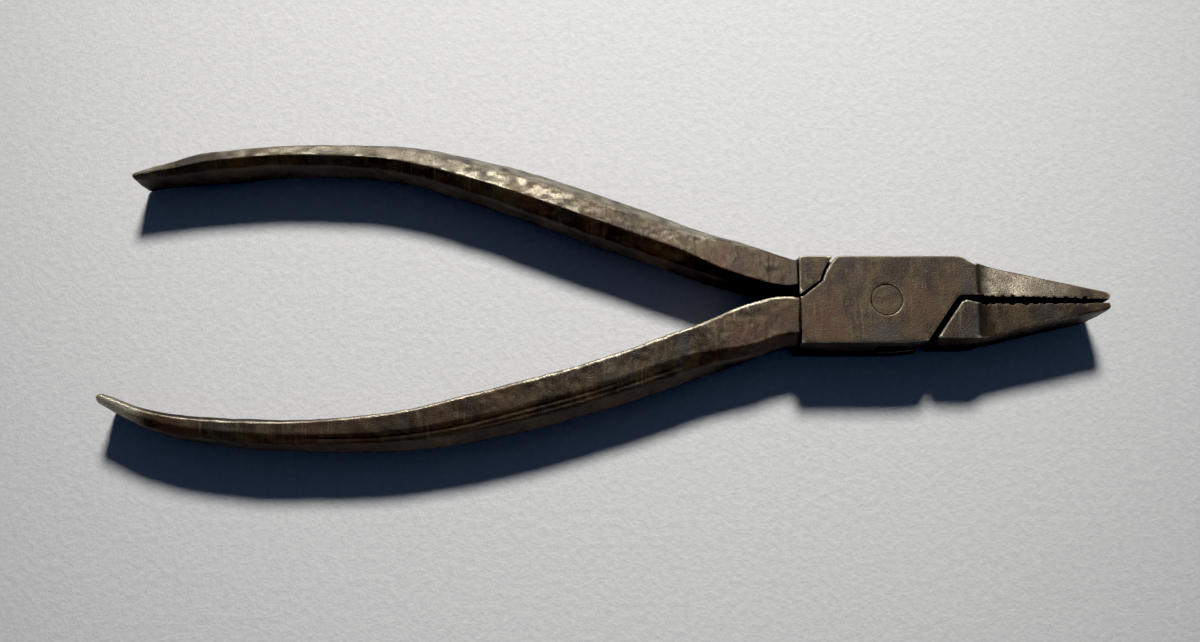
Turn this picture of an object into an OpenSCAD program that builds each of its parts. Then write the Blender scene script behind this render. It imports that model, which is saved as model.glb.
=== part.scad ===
// Flat-nose pliers, hand forged, with a box joint and bare steel handles.
// Millimetres. +X points to the jaws, +Z is up when the pliers lie flat.
// The origin is on the pivot axis, on the joint's underside.

/* [Joint] */
// Thickness of the joint, face to face
joint_t = 9.3; // [8.8:0.1:10.4]
// Half the width of the joint across the pivot
joint_half_w = 5.6; // [5.4:0.1:6]
// Distance from the pivot to the step where the handles begin
joint_back = 10.8; // [10.6:0.1:11.4]
// Radius of the rounded seam behind the pivot, on the boxed lever
seam_r = 8.35; // [8.1:0.05:8.4]
// Gap along the rounded seam behind the pivot
seam_gap = 0.3; // [0.3:0.05:0.5]
// Gap along the straight seam in front of the pivot
front_gap = 0.7; // [0.6:0.05:0.8]

/* [Tongue] */
// Thickness of the tongue that passes through the box
tongue_t = 3.4; // [3:0.1:4]
// Radius of the tongue's round middle
tongue_r = 3.6; // [3.4:0.1:3.7]
// Clearance between the tongue and each cheek
tongue_clear = 0.1; // [0.05:0.05:0.2]
// Widest opening that the slot leaves room for, in degrees
open_angle = 36; // [20:1:36]

/* [Rivet] */
// Diameter of the rivet where it shows, peened flush
rivet_d = 4; // [3.6:0.1:4.4]
// Diameter of the rivet's shank
shank_d = 3.8; // [3:0.1:3.8]
// Depth of the flare at each end
flare_h = 0.8; // [0.4:0.1:1.2]
// Clearance between the shank and the tongue's hole, on the radius
shank_clear = 0.05; // [0.02:0.01:0.08]

/* [Jaws] */
// Distance from the pivot to the tips
jaw_reach = 28.4; // [26:0.1:32]
// Distance from the pivot to the crease at the jaws' root
jaw_root = 11.4; // [11:0.1:12]
// How far each side of the jaws lies below the joint's face
jaw_step = 0.7; // [0.4:0.1:1]
// How far the tips lean back from their top edge to their bottom edge
tip_rake = 0.9; // [0:0.1:1.2]
// Length of the hollow that runs from the crease down to the jaw
cove_len = 1.8; // [1.2:0.1:2.4]
// Distance from one tooth to the next
tooth_pitch = 1.3; // [1:0.1:2]
// Depth of the teeth
tooth_depth = 0.2; // [0.1:0.05:0.4]

/* [Handles] */
// Thickness of the handles over most of their length
handle_t = 8.9; // [8:0.1:9.2]

/* [Hidden] */
$fn = 64;
ring_sides = 20;
steps_per_span = 4;
mid_z = joint_t / 2;
past = 4;

shank_r = shank_d / 2;
slot_gap = 0.3;
slot_r = tongue_r + slot_gap;
slot_t = tongue_t + 2 * tongue_clear;
band_ratio = 0.97;
rest_dir = 160;
shoulder_r = seam_r + seam_gap;
seam_end_angle = 163;
crotch = [-joint_back + 0.3, 0.45];
front_seam_angle = 55;
front_corner = [8.75, 0.1];
tooth_start = jaw_root + 0.8;
tooth_count = floor((jaw_reach - 1.2 - tooth_start) / tooth_pitch);

// Inner faces of the jaws, at the root and at the tip
upper_root_y = 0.6;
upper_tip_y = 0.2;
lower_root_y = -0.28;
lower_tip_y = -0.2;

// Handle rows: centre X, centre Y, width across the handle, thickness as a share of handle_t,
// and the squareness of the oval section, where 2 is an ellipse
upper_rows = [
    [-9.9, 3.7, 3.8, 0.9, 3.6], [-12.6, 3.75, 5.1, 1, 3.6], [-17, 5, 5.6, 1, 3], [-23, 6.85, 6.3, 1, 2.5],
    [-36, 11.5, 6.8, 1, 2.3], [-49, 16, 6.2, 1, 2.3], [-62, 19.2, 4.9, 1, 2.3], [-75, 19.6, 3.8, 1, 2.3],
    [-86, 18.7, 3.3, 0.95, 2.5], [-91, 17.65, 2.5, 0.9, 2.6], [-95.8, 16.65, 1.3, 0.84, 2.8]
];
lower_rows = [
    [-9.8, -2.5, 5.6, 0.97, 3.6], [-13, -2.45, 6.3, 1, 3.6], [-17, -3.7, 6.6, 1, 3], [-23, -6, 6.3, 1, 2.5],
    [-36, -10.5, 6.1, 1, 2.3], [-49, -14, 5.9, 1, 2.3], [-61, -16.3, 4.7, 1, 2.3], [-74, -16.8, 3.8, 1, 2.3],
    [-86, -16, 3.2, 0.95, 2.5], [-92.5, -14.7, 2.6, 0.9, 2.6], [-98.1, -12.35, 1.4, 0.88, 2.8]
];

// Point at a radius and an angle about the pivot
function polar(r, a) = [r * cos(a), r * sin(a)];

// Points along an arc about a centre, from one angle to another
function arc(centre, r, from, to, steps = 10) =
    [for (i = [0:steps]) centre + polar(r, from + (to - from) * i / steps)];

// One value of a smooth curve through four rows, between the middle two
function blend_rows(a, b, c, d, t) =
    0.5 * (2 * b + (c - a) * t + (2 * a - 5 * b + 4 * c - d) * t * t
        + (3 * b - a - 3 * c + d) * t * t * t);

// Row i, with the list carried on in a straight line past either end
function row(rows, i) =
    i < 0 ? 2 * rows[0] - rows[1]
    : i >= len(rows) ? 2 * rows[len(rows) - 1] - rows[len(rows) - 2]
    : rows[i];

// The rows filled in along the smooth curve
function smooth_rows(rows) = [
    for (i = [0:len(rows) - 2], k = [0:steps_per_span - 1])
        blend_rows(row(rows, i - 1), row(rows, i), row(rows, i + 1), row(rows, i + 2), k / steps_per_span),
    rows[len(rows) - 1]
];

// Sideways direction of the handle at row i
function side_dir(rows, i) =
    let (along = row(rows, i + 1) - row(rows, i - 1))
    [-along[1], along[0]] / norm([along[0], along[1]]);

// One oval section of the handle, at a row
function oval_ring(r, side) = [
    for (k = [0:ring_sides - 1])
        let (
            a = 360 * k / ring_sides,
            u = sign(cos(a)) * pow(abs(cos(a)), 2 / r[4]) * r[2] / 2,
            v = sign(sin(a)) * pow(abs(sin(a)), 2 / r[4]) * r[3] * handle_t / 2
        )
        [r[0] + side[0] * u, r[1] + side[1] * u, mid_z + v]
];

// A handle: oval sections along a smooth curve, rounded off at the free end
module handle(rows) {
    path = smooth_rows(rows);
    last = len(path) - 1;
    tip_dir = let (d = path[last] - path[last - 1]) [d[0], d[1]] / norm([d[0], d[1]]);
    nose = path[last][2] * 0.5;
    cap_steps = 3;
    cap_rows = [
        for (i = [1:cap_steps])
            let (a = 75 * i / cap_steps)
            [path[last][0] + tip_dir[0] * nose * sin(a), path[last][1] + tip_dir[1] * nose * sin(a),
                path[last][2] * cos(a), path[last][3] * (0.7 + 0.3 * cos(a)), path[last][4]]
    ];
    full = concat(path, cap_rows);
    count = len(full);
    points = [for (i = [0:count - 1]) each oval_ring(full[i], side_dir(full, i))];
    sides = [
        for (i = [0:count - 2], k = [0:ring_sides - 1])
            let (
                k2 = (k + 1) % ring_sides,
                p = i * ring_sides + k,
                q = i * ring_sides + k2,
                s = p + ring_sides,
                t = q + ring_sides
            )
            each [[p, s, q], [q, s, t]]
    ];
    start_cap = [for (k = [0:ring_sides - 1]) k];
    end_cap = [for (k = [ring_sides - 1:-1:0]) (count - 1) * ring_sides + k];
    polyhedron(points, concat(sides, [start_cap, end_cap]), convexity = 6);
}

// Side view shared by both levers: the joint at full thickness, a cove, then the thinner jaws
module side_view() {
    sweep_angle = 2 * atan(jaw_step / cove_len);
    cove_r = cove_len / sin(sweep_angle);
    cove_centre = [jaw_root + cove_len, mid_z + joint_t / 2 - jaw_step + cove_r];
    top = concat(
        [[-joint_back - past, joint_t], [jaw_root, joint_t]],
        arc(cove_centre, cove_r, 270 - sweep_angle, 270, 6),
        [[jaw_reach, joint_t - jaw_step]]
    );
    bottom = [for (i = [len(top) - 2:-1:0]) [top[i][0], joint_t - top[i][1]]];
    polygon(concat(top, [[jaw_reach - tip_rake, jaw_step]], bottom));
}

// Keeps what lies within the side view
module shaped_from_side() {
    intersection() {
        linear_extrude(joint_t) children();
        translate([0, 4 * joint_half_w, 0]) rotate([90, 0, 0])
            linear_extrude(8 * joint_half_w) side_view();
    }
}

// Plan view of the boxed lever's head: the box and the upper jaw
module box_plan() {
    top = joint_half_w + 0.12;
    lower_edge = -joint_half_w + 0.1;
    seam_foot = front_corner + (lower_edge + 0.3 - front_corner[1])
        / sin(front_seam_angle) * polar(1, front_seam_angle);
    polygon(concat(
        arc([0, 0], seam_r, 180 - asin(top / seam_r), seam_end_angle, 6),
        [
            crotch, [-joint_back, crotch[1]], [-joint_back, lower_edge],
            [seam_foot[0] - 3, lower_edge], seam_foot, front_corner,
            front_corner + [0.6, 0.4], [jaw_root - 0.8, upper_root_y],
            [jaw_reach - 0.25, upper_tip_y]
        ],
        arc([jaw_reach - 0.55, upper_tip_y + 0.5], 0.5, -35, 78, 6),
        [[jaw_root + 0.6, joint_half_w - 0.8]],
        arc([jaw_root - 2.9, top - 3.5], 3.5, 45, 90, 6)
    ));
}

// The slot through the box, wide enough for the tongue at every angle
module slot_plan() {
    half = slot_r * band_ratio;
    far = 4 * joint_half_w;
    circle(slot_r);
    polygon([
        [0, 0], polar(half, rest_dir + 86), crotch, crotch + [-past, past], [-joint_back - past, far],
        polar(half, rest_dir - 90 - open_angle) + polar(far, rest_dir - open_angle),
        polar(half, rest_dir - 90 - open_angle)
    ]);
    polygon([
        [0, 0], polar(half, rest_dir - 94), front_corner + [0.6, 0.05], [jaw_root + past, -1],
        [jaw_root + past, -far],
        polar(half, rest_dir + 90 - open_angle) + polar(far, rest_dir + 180 - open_angle),
        polar(half, rest_dir + 90 - open_angle)
    ]);
}

// Plan view of the tongue lever's shoulder, behind the box
module shoulder_plan() {
    top = joint_half_w + 0.12;
    slide = seam_gap * polar(1, 129);
    polygon(concat(
        arc([0, 0], shoulder_r, 180 - asin(top / shoulder_r), seam_end_angle, 6),
        [crotch + slide + [-0.1, 0], [-joint_back - 0.1, crotch[1] + 0.45], [-joint_back - 0.1, top]]
    ));
}

// Plan view of the tongue lever's block in front of the box, with the lower jaw
module lower_jaw_plan() {
    bottom = -joint_half_w + 0.75;
    corner = front_corner + front_gap * polar(1, front_seam_angle - 90) + [0.1, 0.1];
    foot = corner + (bottom - corner[1]) / sin(front_seam_angle) * polar(1, front_seam_angle);
    polygon(concat(
        [foot, corner],
        arc(corner + [0.62, -0.38], 0.6, 145, 80, 4),
        [[jaw_root - 0.2, lower_root_y], [jaw_reach - 0.2, lower_tip_y]],
        arc([jaw_reach - 0.5, lower_tip_y - 0.45], 0.45, 40, -75, 6),
        [[jaw_root + 1, bottom + 0.1], [jaw_root, bottom]]
    ));
}

// Plan view of the tongue: a band through the pivot with a round middle
module tongue_plan() {
    half = tongue_r * band_ratio;
    band_angle = rest_dir - 90;
    corner_x = (half - joint_half_w * sin(band_angle)) / cos(band_angle);
    circle(tongue_r);
    polygon([
        [0, 0], polar(half, rest_dir + 86), [-joint_back + 0.6, 1.6], [-joint_back + 0.6, joint_half_w],
        [corner_x, joint_half_w], polar(half, band_angle)
    ]);
    polygon([
        [0, 0], polar(half, rest_dir - 95), front_corner + [0.4, -0.9], [jaw_root, -1.2],
        [jaw_root, -joint_half_w + 1], [3.6, -joint_half_w + 0.6], polar(half, rest_dir + 90)
    ]);
}

// A row of V grooves across a jaw's inner face, which leaves the teeth standing
module tooth_grooves(root_y, tip_y) {
    side = tooth_depth * sqrt(2);
    slope = (tip_y - root_y) / (jaw_reach - jaw_root);
    for (i = [0:tooth_count - 1]) {
        x = tooth_start + i * tooth_pitch;
        translate([x, root_y + slope * (x - jaw_root), mid_z])
            rotate([0, 0, 45]) cube([side, side, joint_t + past], center = true);
    }
}

// Turned outline of the rivet: a shank with a flare at each end
module rivet_shape() {
    rotate_extrude() polygon([
        [0, 0], [rivet_d / 2, 0], [shank_r, flare_h], [shank_r, joint_t - flare_h],
        [rivet_d / 2, joint_t], [0, joint_t]
    ]);
}

// The boxed lever: upper jaw, box with its two cheeks, and the lower handle
module box_lever() {
    color("dimgray") difference() {
        union() {
            shaped_from_side() box_plan();
            handle(lower_rows);
        }
        translate([0, 0, mid_z - slot_t / 2]) linear_extrude(slot_t) slot_plan();
        rivet_shape();
        tooth_grooves(upper_root_y, upper_tip_y);
    }
}

// The tongue lever: lower jaw, tongue through the box, shoulder, and the upper handle
module tongue_lever() {
    color("gray") difference() {
        union() {
            shaped_from_side() shoulder_plan();
            shaped_from_side() lower_jaw_plan();
            translate([0, 0, mid_z - tongue_t / 2]) linear_extrude(tongue_t) tongue_plan();
            handle(upper_rows);
        }
        translate([0, 0, -past]) cylinder(r = shank_r + shank_clear, h = joint_t + 2 * past);
        tooth_grooves(lower_root_y, lower_tip_y);
    }
}

// The pivot rivet, peened flush in both cheeks
module pivot_rivet() {
    color("darkgray") rivet_shape();
}

box_lever();
tongue_lever();
pivot_rivet();
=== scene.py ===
"""Old hand-forged flat-nose pliers: two steel levers in a box joint, and a flush rivet.

model.glb gives the two levers and the rivet. Each lever is built again here from a lofted
handle and the joint's own head, worn at its edges, and finished in patinated forged steel.
"""
import math

import bmesh
import bpy
import numpy as np
from mathutils import Matrix, Vector


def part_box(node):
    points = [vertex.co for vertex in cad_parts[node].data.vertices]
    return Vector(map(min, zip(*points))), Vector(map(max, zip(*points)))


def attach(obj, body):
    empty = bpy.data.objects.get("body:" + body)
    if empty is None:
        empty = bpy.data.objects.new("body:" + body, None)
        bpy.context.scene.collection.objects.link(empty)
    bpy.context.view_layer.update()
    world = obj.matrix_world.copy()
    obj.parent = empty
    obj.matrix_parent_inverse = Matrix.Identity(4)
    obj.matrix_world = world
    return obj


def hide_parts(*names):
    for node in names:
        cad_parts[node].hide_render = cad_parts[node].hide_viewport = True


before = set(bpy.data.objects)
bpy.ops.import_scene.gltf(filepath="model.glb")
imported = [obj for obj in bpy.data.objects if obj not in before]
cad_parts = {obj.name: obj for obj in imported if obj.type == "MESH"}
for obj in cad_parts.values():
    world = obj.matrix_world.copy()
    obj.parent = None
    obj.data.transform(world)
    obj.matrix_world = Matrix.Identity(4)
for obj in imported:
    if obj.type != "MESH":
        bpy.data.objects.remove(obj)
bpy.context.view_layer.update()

MM = 0.001

# ---------------------------------------------------------------- sizes of the pliers, in metres
JOINT_T = 9.3 * MM
MID_Z = JOINT_T / 2
JOINT_BACK = 10.8 * MM
JAW_ROOT = 11.4 * MM
JAW_REACH = 28.4 * MM
HANDLE_HALF_T = 4.45 * MM
SLOT_HALF_T = 1.8 * MM
END_DROP = 0.3 * MM
END_LEAN = 0.6 * MM
END_NOSE = 0.9
HANDLE_START_X = -10.3 * MM
HEAD_STUB = 0.13 * MM
HAMMER_SIZE = 7 * MM
TOOTH_PITCH = 1.15 * MM
CUT_WANDER = 0.3 * MM
SEAM_R = 8.5 * MM

# The share of its height that a jaw's face loses for each millimetre out from the biting edge
JAW_FALL = 0.021

# Handle stations: X, Y, width and share of the full thickness, in millimetres
UPPER_STATIONS = [
    (-9.9, 3.7, 3.8, 0.9), (-12.6, 3.75, 5.1, 0.97), (-17, 5, 5.6, 0.985), (-23, 6.85, 6.3, 1),
    (-36, 11.5, 6.8, 1), (-49, 16, 6.2, 1), (-62, 19.2, 4.9, 1), (-75, 19.6, 3.8, 1),
    (-86, 18.7, 3.3, 1), (-91, 17.65, 2.5, 0.97), (-95.8, 16.65, 1.3, 0.93),
]
LOWER_STATIONS = [
    (-9.8, -2.5, 5.6, 0.95), (-13, -2.45, 6.3, 0.965), (-17, -3.7, 6.6, 0.985), (-23, -6, 6.3, 1),
    (-36, -10.5, 6.1, 1), (-49, -14, 5.9, 1), (-61, -16.3, 4.7, 1), (-74, -16.8, 3.8, 1),
    (-86, -16, 3.2, 1), (-92.5, -14.7, 2.6, 1), (-98.1, -12.35, 1.4, 0.98),
]

# Corners of each handle's section, going round from the +Y side over the top: across, up, and
# how far the corner is rounded. Across runs from -1 to 1 of the half width, up of the half thickness.
UPPER_SECTIONS = {
    "root": [(1, 0.5, 0.2), (0.72, 0.9, 0.1), (-0.72, 0.99, 0.06), (-1, 0.6, 0.12),
             (-1, -0.6, 0.2), (-0.7, -0.97, 0.1), (0.72, -0.92, 0.1), (1, -0.5, 0.2)],
    "grip": [(1, 0.12, 0.2), (0.47, 0.77, 0.1), (-0.3, 1, 0.05), (-0.86, 0.7, 0.12),
             (-1, -0.15, 0.2), (-0.4, -1, 0.1), (0.42, -0.86, 0.1), (1, -0.2, 0.2)],
    "end": [(1, 0.25, 0.2), (0.66, 0.9, 0.1), (-0.16, 1, 0.05), (-0.86, 0.74, 0.12),
            (-1, -0.3, 0.2), (-0.4, -1, 0.12), (0.6, -0.97, 0.1), (1, -0.5, 0.2)],
}
LOWER_SECTIONS = {
    "root": [(1, 0.85, 0.04), (0.985, 0.95, 0.02), (0.88, 0.99, 0.03), (-0.6, 0.97, 0.08),
             (-1, 0.45, 0.2), (-0.8, -0.85, 0.15), (0.9, -0.98, 0.05), (1, -0.8, 0.1)],
    "grip": [(1, 0.75, 0.05), (0.98, 0.93, 0.02), (0.86, 0.975, 0.03), (-0.02, 0.91, 0.05),
             (-0.6, 0.72, 0.08), (-1, 0.06, 0.2), (-0.5, -0.95, 0.2), (1, -0.6, 0.2)],
    "end": [(1, 0.55, 0.08), (0.95, 0.8, 0.04), (0.62, 0.96, 0.05), (-0.1, 0.94, 0.08),
            (-0.82, 0.76, 0.1), (-1, 0, 0.2), (-0.4, -0.98, 0.2), (1, -0.5, 0.15)],
}
RING_POINTS = 96
STEPS_PER_SPAN = 36
NOSE_ANGLES = (22, 44, 62, 76, 85, 90)


# ---------------------------------------------------------------- small helpers
def smooth_step(low, high, x):
    t = np.clip((np.asarray(x, float) - low) / (high - low), 0, 1)
    return t * t * (3 - 2 * t)


def new_mesh_object(name, verts, faces=(), edges=()):
    mesh = bpy.data.meshes.new(name)
    mesh.from_pydata([tuple(v) for v in verts], list(edges), list(faces))
    made = bpy.data.objects.new(name, mesh)
    bpy.context.scene.collection.objects.link(made)
    return made


def points_of(mesh):
    flat = np.empty(len(mesh.vertices) * 3, np.float32)
    mesh.vertices.foreach_get("co", flat)
    return flat.reshape(-1, 3).astype(float)


def normals_of(mesh):
    flat = np.empty(len(mesh.vertices) * 3, np.float32)
    mesh.vertex_normals.foreach_get("vector", flat)
    return flat.reshape(-1, 3).astype(float)


def set_points(mesh, points):
    mesh.vertices.foreach_set("co", np.asarray(points, np.float32).ravel())
    mesh.update()


def store(mesh, name, values, kind="FLOAT"):
    field = mesh.attributes.new(name, kind, "POINT")
    field.data.foreach_set("vector" if kind == "FLOAT_VECTOR" else "value",
                           np.asarray(values, np.float32).ravel())


def bake_modifiers(obj):
    """The object as its modifiers leave it, in one plain mesh."""
    bpy.context.view_layer.update()
    graph = bpy.context.evaluated_depsgraph_get()
    final = bpy.data.meshes.new_from_object(obj.evaluated_get(graph))
    obj.modifiers.clear()
    old = obj.data
    obj.data = final
    bpy.data.meshes.remove(old)
    return obj


def remove(*objects):
    for o in objects:
        bpy.data.objects.remove(o)


def mottle(points, size, seed):
    """Soft random values from -1 to 1 that change over about `size` metres."""
    p = points / size + seed * 17.31
    cell = np.floor(p).astype(np.int64)
    f = p - cell
    f = f * f * (3 - 2 * f)
    total = np.zeros(len(points))
    for dx in (0, 1):
        for dy in (0, 1):
            for dz in (0, 1):
                h = ((cell[:, 0] + dx) * 73856093) ^ ((cell[:, 1] + dy) * 19349663) \
                    ^ ((cell[:, 2] + dz) * 83492791) ^ (seed * 2654435761)
                h = (h ^ (h >> 13)) * 1274126177 & 0xFFFFFFFF
                h = (h ^ (h >> 16)) & 0xFFFF
                weight = (f[:, 0] if dx else 1 - f[:, 0]) * (f[:, 1] if dy else 1 - f[:, 1]) \
                    * (f[:, 2] if dz else 1 - f[:, 2])
                total += weight * (h / 32767.5 - 1)
    return total


# ---------------------------------------------------------------- node building
class Tree:
    """A node tree that is built one line at a time."""

    def __init__(self, tree):
        self.tree = tree

    def add(self, kind, inputs=None, **settings):
        made = self.tree.nodes.new(kind)
        for key, value in settings.items():
            setattr(made, key, value)
        for key, value in (inputs or {}).items():
            socket = made.inputs[key]
            if isinstance(value, bpy.types.NodeSocket):
                self.tree.links.new(value, socket)
            else:
                socket.default_value = value
        return made

    def math(self, operation, a, b=None, clamp=False):
        inputs = {0: a} if b is None else {0: a, 1: b}
        return self.add("ShaderNodeMath", inputs, operation=operation, use_clamp=clamp).outputs[0]

    def vector_math(self, operation, a, b=None, scale=None):
        inputs = {0: a}
        if b is not None:
            inputs[1] = b
        if scale is not None:
            inputs[3] = scale
        return self.add("ShaderNodeVectorMath", inputs, operation=operation).outputs[0]


def new_geometry_tree(name, sockets):
    """A Geometry Nodes tree with a geometry input and output and the named inputs."""
    tree = bpy.data.node_groups.new(name, "GeometryNodeTree")
    tree.interface.new_socket("Geometry", in_out="INPUT", socket_type="NodeSocketGeometry")
    for label, kind in sockets:
        tree.interface.new_socket(label, in_out="INPUT", socket_type="NodeSocket" + kind)
    tree.interface.new_socket("Geometry", in_out="OUTPUT", socket_type="NodeSocketGeometry")
    t = Tree(tree)
    return t, t.add("NodeGroupInput").outputs


def finish_geometry_tree(t, geometry, material):
    real = t.add("GeometryNodeRealizeInstances", {"Geometry": geometry})
    painted = t.add("GeometryNodeSetMaterial", {"Geometry": real.outputs[0], "Material": material})
    t.add("NodeGroupOutput", {0: painted.outputs[0]})


def run_tree(obj, tree, values):
    """Runs a tree on the object with its inputs set by name, and keeps the plain result."""
    names = {s.name: s.identifier for s in tree.interface.items_tree
             if s.item_type == "SOCKET" and s.in_out == "INPUT"}
    modifier = obj.modifiers.new(tree.name, "NODES")
    modifier.node_group = tree
    for label, value in values.items():
        modifier[names[label]] = value
    return bake_modifiers(obj)


# ---------------------------------------------------------------- handle loft
def section_ring(corners):
    """Evenly spread points round a section whose corners are rounded."""
    n = len(corners)
    spots = np.array([(c[0], c[1]) for c in corners])
    ring = []
    per_side = RING_POINTS // n
    for i in range(n):
        before, here, after = spots[i - 1], spots[i], spots[(i + 1) % n]
        cut = corners[i][2]
        a = here + (before - here) / max(np.linalg.norm(before - here), 1e-9) * cut
        b = here + (after - here) / max(np.linalg.norm(after - here), 1e-9) * cut
        nxt = (i + 1) % n
        far = spots[nxt] + (here - spots[nxt]) / max(np.linalg.norm(here - spots[nxt]), 1e-9) \
            * corners[nxt][2]
        bend = max(4, per_side // 3)
        for k in range(bend):
            t = k / bend
            ring.append((1 - t) ** 2 * a + 2 * t * (1 - t) * here + t * t * b)
        for k in range(per_side - bend):
            ring.append(b + (far - b) * k / (per_side - bend))
    return np.array(ring)


def smooth_stations(stations):
    """The stations filled in along a smooth curve, in metres."""
    rows = np.array(stations, float)
    rows = np.vstack([2 * rows[0] - rows[1], rows, 2 * rows[-1] - rows[-2]])
    out = []
    for i in range(1, len(rows) - 2):
        a, b, c, d = rows[i - 1:i + 3]
        for t in np.arange(STEPS_PER_SPAN) / STEPS_PER_SPAN:
            out.append(0.5 * (2 * b + (c - a) * t + (2 * a - 5 * b + 4 * c - d) * t * t
                              + (3 * b - a - 3 * c + d) * t ** 3))
    out.append(rows[-2])
    out = np.array(out)
    out[:, :3] *= MM
    return out


def handle_spine(name, stations):
    """A line of points down the middle of a handle, with each ring's size and shape on it."""
    rows = smooth_stations(stations)
    along = np.gradient(rows[:, :2], axis=0)
    along /= np.linalg.norm(along, axis=1)[:, None]
    side = np.column_stack([along[:, 1], -along[:, 0], np.zeros(len(rows))])
    centre = np.column_stack([rows[:, 0], rows[:, 1],
                              MID_Z - END_DROP * smooth_step(-76 * MM, -93 * MM, rows[:, 0])])
    half_w, half_t = rows[:, 2] / 2, rows[:, 3] * HANDLE_HALF_T
    keep = rows[:, 0] < HANDLE_START_X
    centre, side, half_w, half_t = centre[keep], side[keep], half_w[keep], half_t[keep]
    x = centre[:, 0]
    shape = smooth_step(-16 * MM, -27 * MM, x) + smooth_step(-60 * MM, -88 * MM, x)
    ahead = along[-1]
    nose = half_w[-1] * END_NOSE
    caps = []
    # the rings of the rounded end, the last of which closes to a point
    for angle in np.radians(NOSE_ANGLES):
        spot = centre[-1] + np.array([ahead[0], ahead[1], 0]) * nose * math.sin(angle)
        caps.append((spot, half_w[-1] * math.cos(angle),
                     half_t[-1] * (0.86 + 0.14 * math.cos(angle)) * (1 if angle < 1.55 else 0)))
    centre = np.vstack([centre[:1], centre, [c[0] for c in caps]])
    side = np.vstack([side[:1], side, np.repeat(side[-1:], len(caps), 0)])
    half_w = np.concatenate([[0], half_w, [c[1] for c in caps]])
    half_t = np.concatenate([[0], half_t, [c[2] for c in caps]])
    shape = np.concatenate([shape[:1], shape, np.repeat(shape[-1:], len(caps))])
    spine = new_mesh_object(name, centre, edges=[(i, i + 1) for i in range(len(centre) - 1)])
    store(spine.data, "side", side, "FLOAT_VECTOR")
    store(spine.data, "half_width", half_w)
    store(spine.data, "half_thickness", half_t)
    store(spine.data, "shape", shape)
    return spine


def make_loft_tree():
    t, inp = new_geometry_tree("handle_loft", [
        ("Sections", "Object"), ("Rings", "Int"), ("Ring Points", "Int"), ("Hammer Size", "Float"),
        ("Hammer Depth", "Float"), ("Seed", "Float"), ("Steel", "Material")])
    around = t.math("ADD", inp["Ring Points"], 1)
    grid = t.add("GeometryNodeMeshGrid", {"Size X": 1, "Size Y": 1, "Vertices X": inp["Rings"],
                                          "Vertices Y": around})
    place = t.add("ShaderNodeSeparateXYZ", {0: t.add("GeometryNodeInputPosition").outputs[0]})
    last_ring = t.math("SUBTRACT", inp["Rings"], 1)
    ring = t.math("ROUND", t.math("MULTIPLY", t.math("ADD", place.outputs[0], 0.5), last_ring))
    step = t.math("ROUND", t.math("MULTIPLY", t.math("ADD", place.outputs[1], 0.5),
                                  inp["Ring Points"]))
    step = t.math("FLOORED_MODULO", step, inp["Ring Points"])

    def from_spine(value, kind):
        return t.add("GeometryNodeSampleIndex", {"Geometry": inp["Geometry"], "Value": value,
                                                 "Index": ring}, data_type=kind).outputs[0]

    def named(label, kind):
        return t.add("GeometryNodeInputNamedAttribute", {"Name": label}, data_type=kind).outputs[0]

    centre = from_spine(t.add("GeometryNodeInputPosition").outputs[0], "FLOAT_VECTOR")
    side = from_spine(named("side", "FLOAT_VECTOR"), "FLOAT_VECTOR")
    half_w = from_spine(named("half_width", "FLOAT"), "FLOAT")
    half_t = from_spine(named("half_thickness", "FLOAT"), "FLOAT")
    shape = from_spine(named("shape", "FLOAT"), "FLOAT")

    sections = t.add("GeometryNodeObjectInfo", {"Object": inp["Sections"]}).outputs["Geometry"]
    first = t.math("FLOOR", t.math("MINIMUM", shape, 1.999))

    def section_point(which):
        index = t.math("ADD", t.math("MULTIPLY", which, inp["Ring Points"]), step)
        return t.add("GeometryNodeSampleIndex", {
            "Geometry": sections, "Value": t.add("GeometryNodeInputPosition").outputs[0],
            "Index": index}, data_type="FLOAT_VECTOR").outputs[0]

    mixed = t.add("ShaderNodeMix", {"Factor": t.math("SUBTRACT", shape, first),
                                    4: section_point(first),
                                    5: section_point(t.math("ADD", first, 1))},
                  data_type="VECTOR")
    spot = t.add("ShaderNodeSeparateXYZ", {0: mixed.outputs[1]})
    sideways = t.vector_math("SCALE", side, scale=t.math("MULTIPLY", spot.outputs[0], half_w))
    upward = t.add("ShaderNodeCombineXYZ", {2: t.math("MULTIPLY", spot.outputs[1], half_t)})
    target = t.vector_math("ADD", t.vector_math("ADD", centre, sideways), upward.outputs[0])
    placed = t.add("GeometryNodeSetPosition", {"Geometry": grid.outputs["Mesh"],
                                               "Position": target})
    closed = t.add("GeometryNodeMergeByDistance", {"Geometry": placed.outputs[0],
                                                   "Distance": 1e-6})
    blows = t.add("ShaderNodeTexNoise", {
        "Vector": t.add("GeometryNodeInputPosition").outputs[0], "W": inp["Seed"],
        "Scale": t.math("DIVIDE", 1, inp["Hammer Size"]), "Detail": 1.0}, noise_dimensions="4D")
    depth = t.math("MULTIPLY", t.math("SUBTRACT", blows.outputs[0], 0.62), inp["Hammer Depth"])
    hammered = t.add("GeometryNodeSetPosition", {
        "Geometry": closed.outputs[0],
        "Offset": t.vector_math("SCALE", t.add("GeometryNodeInputNormal").outputs[0], scale=depth)})
    finish_geometry_tree(t, hammered.outputs[0], inp["Steel"])
    return t.tree


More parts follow.
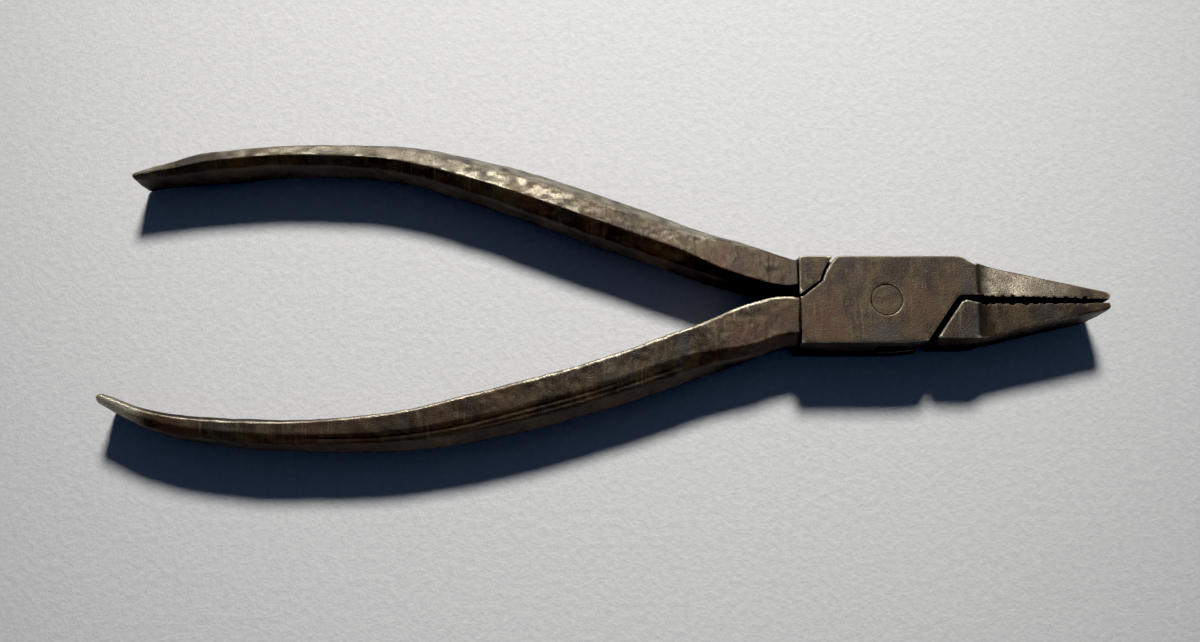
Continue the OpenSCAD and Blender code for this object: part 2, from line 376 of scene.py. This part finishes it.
def loft_handle(name, tree, stations, sections, lean, hammer_depth, seed, steel):
    """A closed handle, hammered all over, whose end leans over by `lean` at its underside."""
    spine = handle_spine(name, stations)
    rings = [section_ring(sections[k]) for k in ("root", "grip", "end")]
    shapes = new_mesh_object(name + "_sections", [(p[0], p[1], 0) for r in rings for p in r])
    run_tree(spine, tree, {
        "Sections": shapes, "Rings": len(spine.data.vertices), "Ring Points": len(rings[0]),
        "Hammer Size": HAMMER_SIZE, "Hammer Depth": hammer_depth, "Seed": seed, "Steel": steel})
    remove(shapes)
    p = points_of(spine.data)
    p[:, 1] += lean * (1 - p[:, 2] / JOINT_T) * smooth_step(-84 * MM, -95 * MM, p[:, 0])
    set_points(spine.data, p)
    return spine


# ---------------------------------------------------------------- jaw teeth
def make_cut_tree():
    """A row of uneven V cuts, each as tall as the jaw, that a file left across it."""
    t, inp = new_geometry_tree("tooth_cuts", [
        ("Cuts", "Int"), ("Pitch", "Float"), ("Cut Width", "Float"), ("Unevenness", "Float"),
        ("Height", "Float"), ("Seed", "Int"), ("Steel", "Material")])
    step = t.add("ShaderNodeCombineXYZ", {0: inp["Pitch"]})
    line = t.add("GeometryNodeMeshLine", {"Count": inp["Cuts"], "Start Location": (0, 0, 0),
                                          "Offset": step.outputs[0]})
    size = t.add("ShaderNodeCombineXYZ", {0: inp["Cut Width"], 1: inp["Cut Width"],
                                          2: inp["Height"]})
    block = t.add("GeometryNodeMeshCube", {"Size": size.outputs[0]})
    turned = t.add("GeometryNodeTransform", {"Geometry": block.outputs[0],
                                             "Rotation": (0, 0, math.radians(45))})

    def spread(low, high, add):
        return t.add("FunctionNodeRandomValue", {
            2: low, 3: high, "Seed": t.math("ADD", inp["Seed"], add)}, data_type="FLOAT").outputs[1]

    shift = t.add("ShaderNodeCombineXYZ", {
        0: t.math("MULTIPLY", spread(-1.0, 1.0, 0), t.math("MULTIPLY", inp["Pitch"], 0.3)),
        1: t.math("MULTIPLY", spread(-1.0, 1.0, 7), t.math("MULTIPLY", inp["Unevenness"], CUT_WANDER))})
    moved = t.add("GeometryNodeSetPosition", {"Geometry": line.outputs[0],
                                              "Offset": shift.outputs[0]})
    lean = t.add("ShaderNodeCombineXYZ", {0: spread(-0.04, 0.04, 3), 1: spread(-0.04, 0.04, 4)})
    grown = t.math("ADD", 1, t.math("MULTIPLY", spread(-0.6, 0.9, 11), inp["Unevenness"]))
    scale = t.add("ShaderNodeCombineXYZ", {0: grown, 1: grown, 2: 1.0})
    cuts = t.add("GeometryNodeInstanceOnPoints", {
        "Points": moved.outputs[0], "Instance": turned.outputs[0], "Rotation": lean.outputs[0],
        "Scale": scale.outputs[0]})
    finish_geometry_tree(t, cuts.outputs[0], inp["Steel"])
    return t.tree


def cut_rows(tree, name, root_y, tip_y, seed, steel):
    """Cutters for one jaw: upright cuts along it, and shallow lengthwise ones that cross them."""
    slope = math.atan2(tip_y - root_y, JAW_REACH - JAW_ROOT)
    upright = new_mesh_object(name, [(0, 0, 0)])
    run_tree(upright, tree, {"Cuts": 14, "Pitch": TOOTH_PITCH, "Cut Width": 0.26 * MM,
                             "Unevenness": 1.0, "Height": JOINT_T * 1.4, "Seed": seed,
                             "Steel": steel})
    upright.data.transform(Matrix.Translation((JAW_ROOT + 0.9 * MM, root_y, MID_Z))
                           @ Matrix.Rotation(slope, 4, "Z"))
    lengthwise = new_mesh_object(name + "_lengthwise", [(0, 0, 0)])
    run_tree(lengthwise, tree, {"Cuts": 6, "Pitch": TOOTH_PITCH, "Cut Width": 0.24 * MM,
                                "Unevenness": 0.4, "Height": (JAW_REACH - JAW_ROOT) * 0.93,
                                "Seed": seed + 40, "Steel": steel})
    lengthwise.data.transform(
        Matrix.Translation(((JAW_ROOT + JAW_REACH) / 2, (root_y + tip_y) / 2, 1.8 * MM))
        @ Matrix.Rotation(slope, 4, "Z") @ Matrix.Rotation(math.radians(90), 4, "Y")
        @ Matrix.Scale(-1, 4, (1, 0, 0)))
    fix_normals(lengthwise)
    return [upright, lengthwise]


def fix_normals(obj):
    """Merges doubled points and turns every face outwards."""
    bm = bmesh.new()
    bm.from_mesh(obj.data)
    bmesh.ops.remove_doubles(bm, verts=bm.verts, dist=1e-8)
    bmesh.ops.recalc_face_normals(bm, faces=bm.faces)
    bm.to_mesh(obj.data)
    bm.free()


# ---------------------------------------------------------------- lever heads
def head_of(node, name):
    """A merged copy of the CAD lever, cut off just behind the step where its handle begins."""
    head = bpy.data.objects.new(name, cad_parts[node].data.copy())
    bpy.context.scene.collection.objects.link(head)
    bm = bmesh.new()
    bm.from_mesh(head.data)
    bmesh.ops.remove_doubles(bm, verts=bm.verts, dist=1e-7)
    plane = (-JOINT_BACK - HEAD_STUB, 0, 0)
    cut = bmesh.ops.bisect_plane(bm, geom=bm.verts[:] + bm.edges[:] + bm.faces[:], plane_co=plane,
                                 plane_no=(-1, 0, 0), clear_outer=True)
    rim = [e for e in cut["geom_cut"] if isinstance(e, bmesh.types.BMEdge)]
    bmesh.ops.holes_fill(bm, edges=rim, sides=0)
    bmesh.ops.recalc_face_normals(bm, faces=bm.faces)
    bm.to_mesh(head.data)
    bm.free()
    head.data.materials.clear()
    return head


def carve(obj, cutters):
    """Cuts the cutters out of the object, and throws them away."""
    for c in cutters:
        modifier = obj.modifiers.new("cut", "BOOLEAN")
        modifier.operation = "DIFFERENCE"
        modifier.solver = "EXACT"
        modifier.object = c
    bake_modifiers(obj)
    remove(*cutters)


def join(into, *others):
    """One mesh from several, each still a closed shell."""
    bm = bmesh.new()
    for o in (into, *others):
        bm.from_mesh(o.data)
    bm.to_mesh(into.data)
    bm.free()
    remove(*others)


# ---------------------------------------------------------------- wear
VOXEL = 0.14 * MM
MOST_TRIANGLES = 178000
WEAR_ROUNDS = 3


class Surface:
    """A dense mesh as arrays, for wearing its edges."""

    def __init__(self, mesh):
        self.mesh = mesh
        edges = np.empty(len(mesh.edges) * 2, np.int32)
        mesh.edges.foreach_get("vertices", edges)
        self.a, self.b = edges.reshape(-1, 2).T
        self.n = len(mesh.vertices)
        self.degree = np.maximum(np.bincount(self.a, minlength=self.n)
                                 + np.bincount(self.b, minlength=self.n), 1)

    def spread(self, values):
        """Each vertex's mean over its neighbours."""
        values = np.asarray(values, float)
        if values.ndim == 1:
            total = np.bincount(self.a, values[self.b], self.n) \
                + np.bincount(self.b, values[self.a], self.n)
            return total / self.degree
        return np.column_stack([self.spread(values[:, k]) for k in range(values.shape[1])])

    def bulge(self, points, rounds):
        """How far each vertex stands out of the surface round it, in voxels: edges are positive."""
        set_points(self.mesh, points)
        normals = normals_of(self.mesh)
        soft = points
        for _ in range(rounds):
            soft = self.spread(soft)
        return np.einsum("ij,ij->i", points - soft, normals) / VOXEL


def spine_y(stations, x):
    rows = smooth_stations(stations)
    order = np.argsort(rows[:, 0])
    y = np.interp(x, rows[order, 0], rows[order, 1])
    return y * smooth_step(-9.5 * MM, -13 * MM, x)


def wear_lever(obj, node, stations, seed, features):
    """Voxel remesh, softened edges, hammer and file unevenness, then a lighter mesh."""
    remesh = obj.modifiers.new("remesh", "REMESH")
    remesh.mode = "VOXEL"
    remesh.voxel_size = VOXEL
    remesh.adaptivity = 0
    bake_modifiers(obj)
    mesh = obj.data
    surface = Surface(mesh)
    p = points_of(mesh)
    x, y, z = p.T
    hidden = (np.abs(z - MID_Z) < SLOT_HALF_T + 0.05 * MM) & (x > -JOINT_BACK) \
        & (x < JAW_ROOT + 0.5 * MM)
    ring = np.hypot(x, y)
    keep_sharp = np.maximum(smooth_step(2.75 * MM, 2.25 * MM, ring), hidden * 1.0)
    # worn edges: the sharper the edge, the more of it has gone
    for _ in range(WEAR_ROUNDS):
        stand = surface.bulge(p, 3)
        ease = np.clip((stand - 0.05) * 2.4, 0, 0.5) * (1 - keep_sharp * 0.97)
        ease *= np.clip(0.7 + 0.8 * mottle(p, 2.6 * MM, seed + 5), 0.05, 1.4)
        p = p + (surface.spread(p) - p) * ease[:, None]
    set_points(mesh, p)
    normals = normals_of(mesh)
    x = p[:, 0]
    on_handle = smooth_step(-JOINT_BACK, -JOINT_BACK - 3 * MM, x)
    on_jaw = smooth_step(JAW_ROOT, JAW_ROOT + 2 * MM, x)
    dent = 0.035 * MM * mottle(p, 2.3 * MM, seed) + 0.022 * MM * mottle(p, 0.95 * MM, seed + 1)
    pitted = on_handle * smooth_step(-66 * MM, -48 * MM, x) * np.clip(normals[:, 2], 0, 1)
    dent += pitted * MM * (0.034 * (mottle(p, 0.7 * MM, seed + 2) - 0.5)
                           + 0.02 * mottle(p * [1.6, 0.8, 1], 0.42 * MM, seed + 4))
    dent -= 0.03 * MM
    depth = dent * (0.35 + 0.9 * on_handle + 0.5 * on_jaw)
    for extra in features:
        depth = depth + extra(p, normals, seed)
    p = p + normals * (depth * (1 - keep_sharp))[:, None]
    # the jaws' faces fall away a little from the biting edge to the outer one
    p[:, 2] = MID_Z + (p[:, 2] - MID_Z) * (
        1 - JAW_FALL * smooth_step(JAW_ROOT + 0.6 * MM, JAW_ROOT + 2.5 * MM, p[:, 0])
        * np.abs(p[:, 1]) / MM)
    low, high = (np.array(c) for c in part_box(node))
    p = np.clip(p, low + 1e-6, high - 1e-6)
    stand = surface.bulge(p, 4)
    for _ in range(2):
        stand = surface.spread(stand)
    wide = surface.bulge(p, 18)
    set_points(mesh, p)
    normals = normals_of(mesh)
    # dark forge skin on the steep sides, which also paints shade on them
    store(mesh, "scale", forge_skin_and_side_shade(p, normals, seed))
    # painted shade on the walls inside the seams and between the jaws
    store(mesh, "painted_seam_shade", paint_seam_shade(p, normals))
    # the lower jaw's biting edge is duller than its other edges
    bite = smooth_step(JAW_ROOT, JAW_ROOT + 1 * MM, p[:, 0]) * smooth_step(0.05, -0.1, p[:, 1] / MM) \
        * smooth_step(-1.2, -0.7, p[:, 1] / MM)
    store(mesh, "wear", np.clip(stand * 2.2, 0, 1) * (1 - 0.75 * bite))
    store(mesh, "hollow", np.clip(-wide * 0.45, 0, 1))
    store(mesh, "grain", np.column_stack([p[:, 0], p[:, 1] - spine_y(stations, p[:, 0]), p[:, 2]]),
          "FLOAT_VECTOR")
    triangles = sum(len(f.vertices) - 2 for f in mesh.polygons)
    if triangles > MOST_TRIANGLES:
        lighter = obj.modifiers.new("lighter", "DECIMATE")
        lighter.ratio = MOST_TRIANGLES / triangles
        bake_modifiers(obj)
    obj.data.shade_smooth()
    return obj


def forge_skin_and_side_shade(p, normals, seed):
    """Where the black skin from the forge is left: in patches, on every side never dressed flat. This
    darkening of the steep sides also paints shade on them.
    """
    steep = smooth_step(0.8, 0.5, np.abs(normals[:, 2]))
    patchy = 0.5 + 0.4 * mottle(p, 2.4 * MM, seed + 9) + 0.25 * mottle(p, 0.9 * MM, seed + 10)
    return np.clip(steep * patchy, 0, 1)


def paint_seam_shade(p, normals):
    """Painted shade: near-black on the walls inside the seams, between the jaws, and where the handles
    part behind the joint.
    """
    x, y, z = p.T
    wall = smooth_step(0.8, 0.5, np.abs(normals[:, 2])) \
        * smooth_step(MID_Z - 0.08 * MM, MID_Z - 0.4 * MM, np.abs(z - MID_Z))
    ring = np.hypot(x, y)
    back = (np.abs(ring - SEAM_R) < 0.5 * MM) & (x < -4 * MM) & (y > -1.5 * MM)
    slant = math.radians(55)
    off = (x - 8.75 * MM) * math.sin(slant) - (y - 0.1 * MM) * math.cos(slant)
    front = (off > -0.4 * MM) & (off < 1.2 * MM) & (y < 0.75 * MM) & (x < 12.5 * MM)
    between = (np.abs(y - 0.1 * MM) < 0.8 * MM) & (x > JAW_ROOT - 1 * MM)
    crotch = (ring > 9.5 * MM) & (x < -8 * MM) & (np.abs(y - 0.5 * MM) < 1.0 * MM)
    return wall * (back | front | between | crotch)


def forging_seam(p, normals, seed):
    """Two long creases in the lower handle, where the metal folded as it was drawn out."""
    x = p[:, 0]
    t = p[:, 1] - spine_y(LOWER_STATIONS, x)
    out = 0
    for start, end, offset, depth in ((-78, -30, -0.75, 0.09), (-62, -22, -1.35, 0.07)):
        run = smooth_step(start * MM, (start + 8) * MM, x) * smooth_step(end * MM, (end - 8) * MM, x)
        middle = offset * MM + 0.18 * MM * mottle(p * [1, 0, 0], 9 * MM, seed + 50)
        out = out - run * depth * MM * np.exp(-((t - middle) / (0.17 * MM)) ** 2) \
            * smooth_step(0.3, 0.6, normals[:, 2])
    return out


def file_strokes(p, normals, seed):
    """Shallow strokes across the handle near the joint, where the smith dressed it with a file."""
    x = p[:, 0]
    where = smooth_step(-40 * MM, -28 * MM, x) * smooth_step(-JOINT_BACK, -12.5 * MM, x)
    where = where * np.clip(normals[:, 2], 0, 1) ** 2
    slanted = p * np.array([1.0, 0.22, 0.22]) + np.array([0, 0, 0.01])
    return where * 0.05 * MM * (mottle(slanted, 0.55 * MM, seed + 20) - 0.6)


# ---------------------------------------------------------------- materials
BROWN = (0.042, 0.031, 0.024, 1)
LIGHT_BROWN = (0.092, 0.066, 0.04, 1)
RED_BROWN = (0.088, 0.052, 0.036, 1)
GREY_BROWN = (0.06, 0.053, 0.046, 1)
FILED_BRIGHT = (0.17, 0.135, 0.095, 1)
FILED_DARK = (0.032, 0.025, 0.02, 1)
OLIVE = (0.115, 0.1, 0.055, 1)
HOLLOW_DIRT = (0.012, 0.009, 0.007, 1)
# forge skin on the steep sides, a colour that also stands for painted shade there
FORGE_SKIN_AND_SIDE_SHADE = (0.018, 0.016, 0.015, 1)
# steel worn clean, also the colour of the painted highlights
BARE_STEEL_AND_HIGHLIGHT = (0.55, 0.49, 0.37, 1)
# near-black for the painted shade inside the seams and between the jaws
SEAM_SHADE_COLOUR = (0.004, 0.0035, 0.003, 1)
SCRATCH_DEPTH = 0.14 * MM
CARD_COOL = (0.74, 0.75, 0.77, 1)
CARD_WARM = (0.78, 0.77, 0.75, 1)
CARD_SHADE = (0.68, 0.685, 0.69, 1)
CARD_DEPTH = 0.3 * MM


def new_material(name):
    material = bpy.data.materials.new(name)
    material.use_nodes = True
    material.node_tree.nodes.clear()
    t = Tree(material.node_tree)
    shader = t.add("ShaderNodeBsdfPrincipled")
    t.add("ShaderNodeOutputMaterial", {0: shader.outputs[0]})
    return material, t, shader


def mix_colour(t, factor, a, b):
    return t.add("ShaderNodeMix", {"Factor": factor, 6: a, 7: b}, data_type="RGBA").outputs[2]


def ramp(t, factor, low, high):
    return t.add("ShaderNodeMapRange", {0: factor, 1: low, 2: high},
                 interpolation_type="SMOOTHSTEP").outputs[0]


def noise_on(t, vector, scale, detail=2.0, roughness=0.5, distortion=0.0):
    return t.add("ShaderNodeTexNoise", {
        "Vector": vector, "Scale": scale, "Detail": detail, "Roughness": roughness,
        "Distortion": distortion}).outputs[0]


def stretched(t, vector, scale, rotation=(0, 0, 0)):
    return t.add("ShaderNodeMapping", {0: vector, 2: rotation, 3: scale}).outputs[0]


def make_forged_steel(name):
    """Old forged steel: brown patina in patches, file scratches, and metal worn clean where it rubs,
    with painted highlights where faces turn to the lamp and painted shade in the seams and on the steep
    sides.
    """
    material, t, shader = new_material(name)
    place = t.add("ShaderNodeTexCoord").outputs["Object"]
    grain = t.add("ShaderNodeAttribute", attribute_name="grain").outputs["Vector"]
    wear = t.add("ShaderNodeAttribute", attribute_name="wear").outputs["Fac"]
    hollow = t.add("ShaderNodeAttribute", attribute_name="hollow").outputs["Fac"]
    # metal worn clean, and painted highlights
    bare = t.add("ShaderNodeAttribute", attribute_name="bare").outputs["Fac"]
    # forge skin, also painted shade on the steep sides
    scale = t.add("ShaderNodeAttribute", attribute_name="scale").outputs["Fac"]
    # painted shade inside the seams and between the jaws
    painted_seam_shade = t.add("ShaderNodeAttribute", attribute_name="painted_seam_shade").outputs["Fac"]

    across = t.math("MULTIPLY", t.math("ADD", noise_on(
        t, stretched(t, grain, (1, 0.05, 0.05), (0, 0, 0.1)), 4800, 3.0, 0.65), noise_on(
        t, stretched(t, grain, (1, 0.07, 0.07), (0, 0, -0.06)), 2700, 3.0, 0.6)), 0.5)
    lengthwise = noise_on(t, stretched(t, grain, (0.06, 1, 1)), 2400, 3.0, 0.6)
    fine = noise_on(t, place, 5200, 3.0, 0.65)
    patches = noise_on(t, place, 260, 4.0, 0.6, 0.4)
    clouds = noise_on(t, stretched(t, place, (1, 0.6, 1)), 130, 3.0, 0.55)

    base = mix_colour(t, ramp(t, patches, 0.36, 0.64), BROWN, LIGHT_BROWN)
    base = mix_colour(t, ramp(t, clouds, 0.5, 0.64), base, RED_BROWN)
    base = mix_colour(t, ramp(t, clouds, 0.46, 0.3), base, GREY_BROWN)
    filed = t.math("MULTIPLY", ramp(t, noise_on(t, place, 210, 2.0, 0.5), 0.42, 0.62), 0.55)
    base = mix_colour(t, t.math("MULTIPLY", ramp(t, across, 0.5, 0.66), filed), base, FILED_BRIGHT)
    base = mix_colour(t, t.math("MULTIPLY", ramp(t, across, 0.48, 0.38), filed), base, FILED_DARK)
    base = mix_colour(t, t.math("MULTIPLY", ramp(t, noise_on(t, place, 620, 3.0, 0.6), 0.52, 0.7),
                                0.5), base, OLIVE)
    base = mix_colour(t, t.math("MULTIPLY", hollow, 0.8, True), base, HOLLOW_DIRT)
    edge = ramp(t, t.math("ADD", wear, t.math("MULTIPLY", t.math("SUBTRACT", fine, 0.5), 0.5)),
                0.42, 0.85)
    # worn edges, the metal worn clean and the painted highlights all turn bright steel
    shine = t.math("MAXIMUM", edge, t.math("MULTIPLY", bare, ramp(t, fine, 0.3, 0.52)))
    # forge skin on the steep sides, which is also painted shade
    base = mix_colour(t, t.math("MULTIPLY", scale, 0.9, True), base, FORGE_SKIN_AND_SIDE_SHADE)
    colour = mix_colour(t, shine, base, BARE_STEEL_AND_HIGHLIGHT)
    # painted shade: near-black on the seam walls and between the jaws
    colour = mix_colour(t, painted_seam_shade, colour, SEAM_SHADE_COLOUR)
    rough = t.math("SUBTRACT", t.math("ADD", 0.42, t.math("MULTIPLY", patches, 0.22)),
                   t.math("MULTIPLY", shine, 0.2))
    rough = t.math("ADD", rough, t.math("MULTIPLY", painted_seam_shade, 0.3), True)
    metal = t.math("SUBTRACT", 0.72, t.math("MULTIPLY", shine, 0.14))
    metal = t.math("MULTIPLY", metal, t.math("SUBTRACT", 1, painted_seam_shade))

    lines = t.math("ADD", t.math("MULTIPLY", across, 0.42), t.math("MULTIPLY", lengthwise, 0.1))
    height = t.math("ADD", lines, t.math("MULTIPLY", fine, 0.7))
    bump = t.add("ShaderNodeBump", {"Strength": 0.7, "Distance": SCRATCH_DEPTH, "Height": height})
    t.tree.links.new(colour, shader.inputs["Base Color"])
    t.tree.links.new(rough, shader.inputs["Roughness"])
    t.tree.links.new(metal, shader.inputs["Metallic"])
    t.tree.links.new(bump.outputs[0], shader.inputs["Normal"])
    return material


def make_paper():
    """The pale floor: smooth off-white card with a faint tooth."""
    material, t, shader = new_material("pale_card")
    place = t.add("ShaderNodeTexCoord").outputs["Object"]
    tooth = noise_on(t, place, 1100, 6.0, 0.72)
    tint = mix_colour(t, noise_on(t, place, 9, 2.0), CARD_COOL, CARD_WARM)
    colour = mix_colour(t, ramp(t, tooth, 0.3, 0.7), CARD_SHADE, tint)
    bump = t.add("ShaderNodeBump", {"Strength": 0.6, "Distance": CARD_DEPTH, "Height": tooth})
    t.tree.links.new(colour, shader.inputs["Base Color"])
    t.tree.links.new(bump.outputs[0], shader.inputs["Normal"])
    shader.inputs["Roughness"].default_value = 0.85
    shader.inputs["Specular IOR Level"].default_value = 0.2
    return material


# ---------------------------------------------------------------- rivet
def make_rivet(steel):
    """The peened rivet: a flush head at each end, slightly out of round, on its shank."""
    outline = [(0, 0.03), (0.9, 0.015), (1.6, 0.02), (1.9, 0.035), (1.985, 0.1), (1.97, 0.3),
               (1.9, 0.85), (1.9, 3.0)]
    outline = [(r * MM, h * MM) for r, h in outline]
    rows = outline + [(r, JOINT_T - h) for r, h in outline[::-1]]
    turns = 96
    verts = []
    for k, (r, h) in enumerate(rows):
        if r == 0:
            verts.append((0, 0, h))
            continue
        for i in range(turns):
            a = math.tau * i / turns
            out = 1 + (0.012 * math.sin(3 * a + 0.7) + 0.008 * math.sin(5 * a + 2) - 0.014) \
                * (r > 1.5 * MM and not 0.4 * MM < h < JOINT_T - 0.4 * MM)
            verts.append((r * out * math.cos(a), r * out * math.sin(a), h))
    faces = []
    start = 1
    for i in range(turns):
        faces.append((0, start + (i + 1) % turns, start + i))
    bands = len(rows) - 3
    for k in range(bands):
        for i in range(turns):
            j = (i + 1) % turns
            low, up = start + k * turns, start + (k + 1) * turns
            faces.append((low + i, low + j, up + j, up + i))
    top, apex = start + bands * turns, len(verts) - 1
    for i in range(turns):
        faces.append((apex, top + i, top + (i + 1) % turns))
    rivet = new_mesh_object("peened_rivet", verts, faces)
    fix_normals(rivet)
    divide = rivet.modifiers.new("finer", "SUBSURF")
    divide.levels = divide.render_levels = 2
    bake_modifiers(rivet)
    mesh = rivet.data
    p, n = points_of(mesh), normals_of(mesh)
    faced = np.abs(n[:, 2]) ** 4
    turn = np.arctan2(p[:, 1], p[:, 0])
    rim = smooth_step(1.7 * MM, 1.95 * MM, np.hypot(p[:, 0], p[:, 1]))
    open_rim = smooth_step(-0.2, 0.9, np.sin(turn - 0.5) + 0.6 * np.sin(3 * turn + 1.1))
    outward = np.sign(p[:, 2] - MID_Z)
    p[:, 2] += outward * rim * (np.abs(p[:, 2] - MID_Z) > MID_Z - 0.3 * MM) * 0.05 * MM \
        * (0.6 - 1.3 * open_rim)
    p[:, 2] = np.clip(p[:, 2], 1e-6, JOINT_T - 1e-6)
    p = p + n * (0.02 * MM * faced * (mottle(p, 0.9 * MM, 31) - 1))[:, None]
    set_points(mesh, p)
    r = np.hypot(p[:, 0], p[:, 1])
    store(mesh, "wear", np.clip((r - 1.78 * MM) / (0.2 * MM), 0, 1) * faced * 0.3)
    store(mesh, "hollow", smooth_step(1.93 * MM, 1.99 * MM, r) * 0.4)
    for unused in ("bare", "scale", "painted_seam_shade"):
        store(mesh, unused, np.zeros(len(p)))
    store(mesh, "grain", p, "FLOAT_VECTOR")
    mesh.materials.clear()
    mesh.materials.append(steel)
    mesh.shade_smooth()
    return rivet


# ---------------------------------------------------------------- the pieces
steel = make_forged_steel("forged_steel")
rivet_steel = make_forged_steel("peened_rivet_steel")
loft_tree = make_loft_tree()
cut_tree = make_cut_tree()


def upper_bare(p, n):
    """Metal worn clean by the hand on the upper handle's top facet and outer edge, with painted
    highlights there on the faces turned to the lamp.
    """
    x = p[:, 0]
    # painted highlight along the top facet, on the faces turned up and to the lamp
    strip = smooth_step(-86 * MM, -78 * MM, x) * smooth_step(-32 * MM, -46 * MM, x)
    facing = smooth_step(0.8, 0.95, n[:, 2]) * smooth_step(-0.05, 0.1, n[:, 1])
    strip_patches = np.clip(0.35 + 1.3 * mottle(p * [0.6, 1, 1], 0.6 * MM, 61), 0, 1)
    # painted highlight on the outer edge, which faces the lamp
    outer = smooth_step(0.3, 0.5, n[:, 1]) * smooth_step(0.25, 0.5, n[:, 2]) \
        * smooth_step(-12 * MM, -20 * MM, x) * np.clip(0.4 + 0.4 * mottle(p, 1.2 * MM, 62), 0, 0.8)
    return np.maximum(strip * facing * strip_patches, outer)


def lower_bare(p, n):
    """Metal worn clean on the handle's inner edge and curled end, the seam's edge, the cove and the
    jaw, with painted highlights on the edges and the cove and a painted sheen on the jaw.
    """
    x = p[:, 0]
    flat = smooth_step(0.85, 0.95, np.abs(n[:, 2]))
    # the cove: metal worn clean, with a painted highlight
    cove = smooth_step(JAW_ROOT + 0.25 * MM, JAW_ROOT + 0.5 * MM, x) \
        * smooth_step(15.0 * MM, 13.0 * MM, x) * np.clip(0.75 + 0.7 * mottle(p, 0.55 * MM, 71), 0, 1)
    # a painted sheen on the jaw's face
    jaw = smooth_step(JAW_ROOT, JAW_ROOT + 1 * MM, x) * smooth_step(26 * MM, 17 * MM, x) \
        * np.clip(0.3 + 0.45 * mottle(p * [0.5, 1, 1], 1.1 * MM, 72), 0, 0.7)
    ring = np.hypot(x, p[:, 1])
    # the seam's rounded edge: metal worn clean, with a painted highlight
    seam = smooth_step(8.05 * MM, 8.22 * MM, ring) * smooth_step(8.6 * MM, 8.5 * MM, ring) \
        * smooth_step(-4.5 * MM, -5.5 * MM, x) * smooth_step(2.1 * MM, 2.7 * MM, p[:, 1]) \
        * smooth_step(0.35, 0.7, n[:, 2]) * np.clip(0.6 + 0.5 * mottle(p, 0.8 * MM, 74), 0, 1)
    # a painted highlight along the inner top edge, which faces the lamp
    edge = smooth_step(0.08, 0.25, n[:, 1]) * smooth_step(0.6, 0.8, n[:, 2]) \
        * smooth_step(-JOINT_BACK, -12 * MM, x)
    edge = edge * np.clip(0.95 + 0.7 * mottle(p, 1.6 * MM, 73), 0, 1)
    tip = smooth_step(-92 * MM, -95 * MM, x) * smooth_step(0.2, 0.6, n[:, 2])
    return np.clip(np.maximum(cove, jaw) * flat + edge + tip + seam, 0, 1)


def make_lever(piece, node, stations, sections, teeth, lean, hammer, seed, features, bare):
    handle = loft_handle(piece + "_handle", loft_tree, stations, sections, lean, hammer, seed, steel)
    lever = head_of(node, piece)
    carve(lever, cut_rows(cut_tree, piece + "_cuts", teeth[0], teeth[1], seed, steel))
    join(lever, handle)
    wear_lever(lever, node, stations, seed, features)
    mesh = lever.data
    # metal worn clean, and painted highlights
    store(mesh, "bare", bare(points_of(mesh), normals_of(mesh)))
    mesh.materials.clear()
    mesh.materials.append(steel)
    return lever


tongue_lever = make_lever("tongue_lever_steel", "tongue_lever", UPPER_STATIONS, UPPER_SECTIONS,
                          (-0.28 * MM, -0.2 * MM), END_LEAN, 0.35 * MM, 3, [file_strokes], upper_bare)
box_lever = make_lever("box_lever_steel", "box_lever", LOWER_STATIONS, LOWER_SECTIONS,
                       (0.6 * MM, 0.2 * MM), 0, 0.3 * MM, 11, [file_strokes, forging_seam],
                       lower_bare)
rivet = make_rivet(rivet_steel)

for piece, body, node, slot in (
        (tongue_lever, "tongue_lever", "tongue_lever", "forged_steel"),
        (box_lever, "box_lever", "box_lever", "forged_steel"),
        (rivet, "box_lever", "pivot_rivet", "rivet_steel")):
    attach(piece, body)
    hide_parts(node)

# ---------------------------------------------------------------- floor, light and camera
floor = new_mesh_object("floor", [(-1, -1, 0), (1, -1, 0), (1, 1, 0), (-1, 1, 0)], [(0, 1, 2, 3)])
floor.data.materials.append(make_paper())


def aim(obj, target):
    direction = Vector(target) - obj.location
    obj.rotation_euler = direction.to_track_quat("-Z", "Y").to_euler()


def add_light(name, kind, place, target, power, colour, **settings):
    data = bpy.data.lights.new(name, kind)
    data.energy = power
    data.color = colour
    for key, value in settings.items():
        setattr(data, key, value)
    light = bpy.data.objects.new(name, data)
    light.location = place
    bpy.context.scene.collection.objects.link(light)
    aim(light, target)


LAMP_PLACE = (-0.022, 0.303, 0.376)
LAMP_COLOUR = (1.0, 0.98, 0.94)
LAMP_POWER = 4.8
LAMP_RADIUS = 0.042
POOL_POWER = 6.2
POOL_CENTRE = (-0.035, 0.035, 0)
PANEL_POWER = 0.72
PANEL_COLOUR = (0.46, 0.62, 1.0)
ROOM_COLOUR = (0.35, 0.55, 0.9, 1)
ROOM_STRENGTH = 0.02
DARKEST = (0.0065, 0.0065, 0.006)

add_light("lamp", "POINT", LAMP_PLACE, (0, 0, 0), LAMP_POWER, LAMP_COLOUR,
          shadow_soft_size=LAMP_RADIUS)
add_light("lamp_pool", "SPOT", LAMP_PLACE, POOL_CENTRE, POOL_POWER, LAMP_COLOUR,
          shadow_soft_size=LAMP_RADIUS, spot_size=math.radians(34), spot_blend=1.0)
add_light("overhead_panel", "AREA", (0, 0, 1.1), (0, 0, 0), PANEL_POWER, PANEL_COLOUR, size=1.4)

world = bpy.data.worlds.new("studio")
bpy.context.scene.world = world
world.use_nodes = True
background = world.node_tree.nodes["Background"]
background.inputs[0].default_value = ROOM_COLOUR
background.inputs[1].default_value = ROOM_STRENGTH

camera_data = bpy.data.cameras.new("camera")
camera_data.lens = 42
camera_data.sensor_width = 36
camera_data.clip_start = 1 * MM
camera = bpy.data.objects.new("camera", camera_data)
camera.location = (-35.939 * MM, -39.949 * MM, 180.024 * MM)
camera.rotation_euler = (math.radians(12.29), 0, 0)
bpy.context.scene.collection.objects.link(camera)
bpy.context.scene.camera = camera
view = bpy.context.scene.view_settings
view.view_transform = "Standard"
view.use_curve_mapping = True
view.curve_mapping.black_level = DARKEST
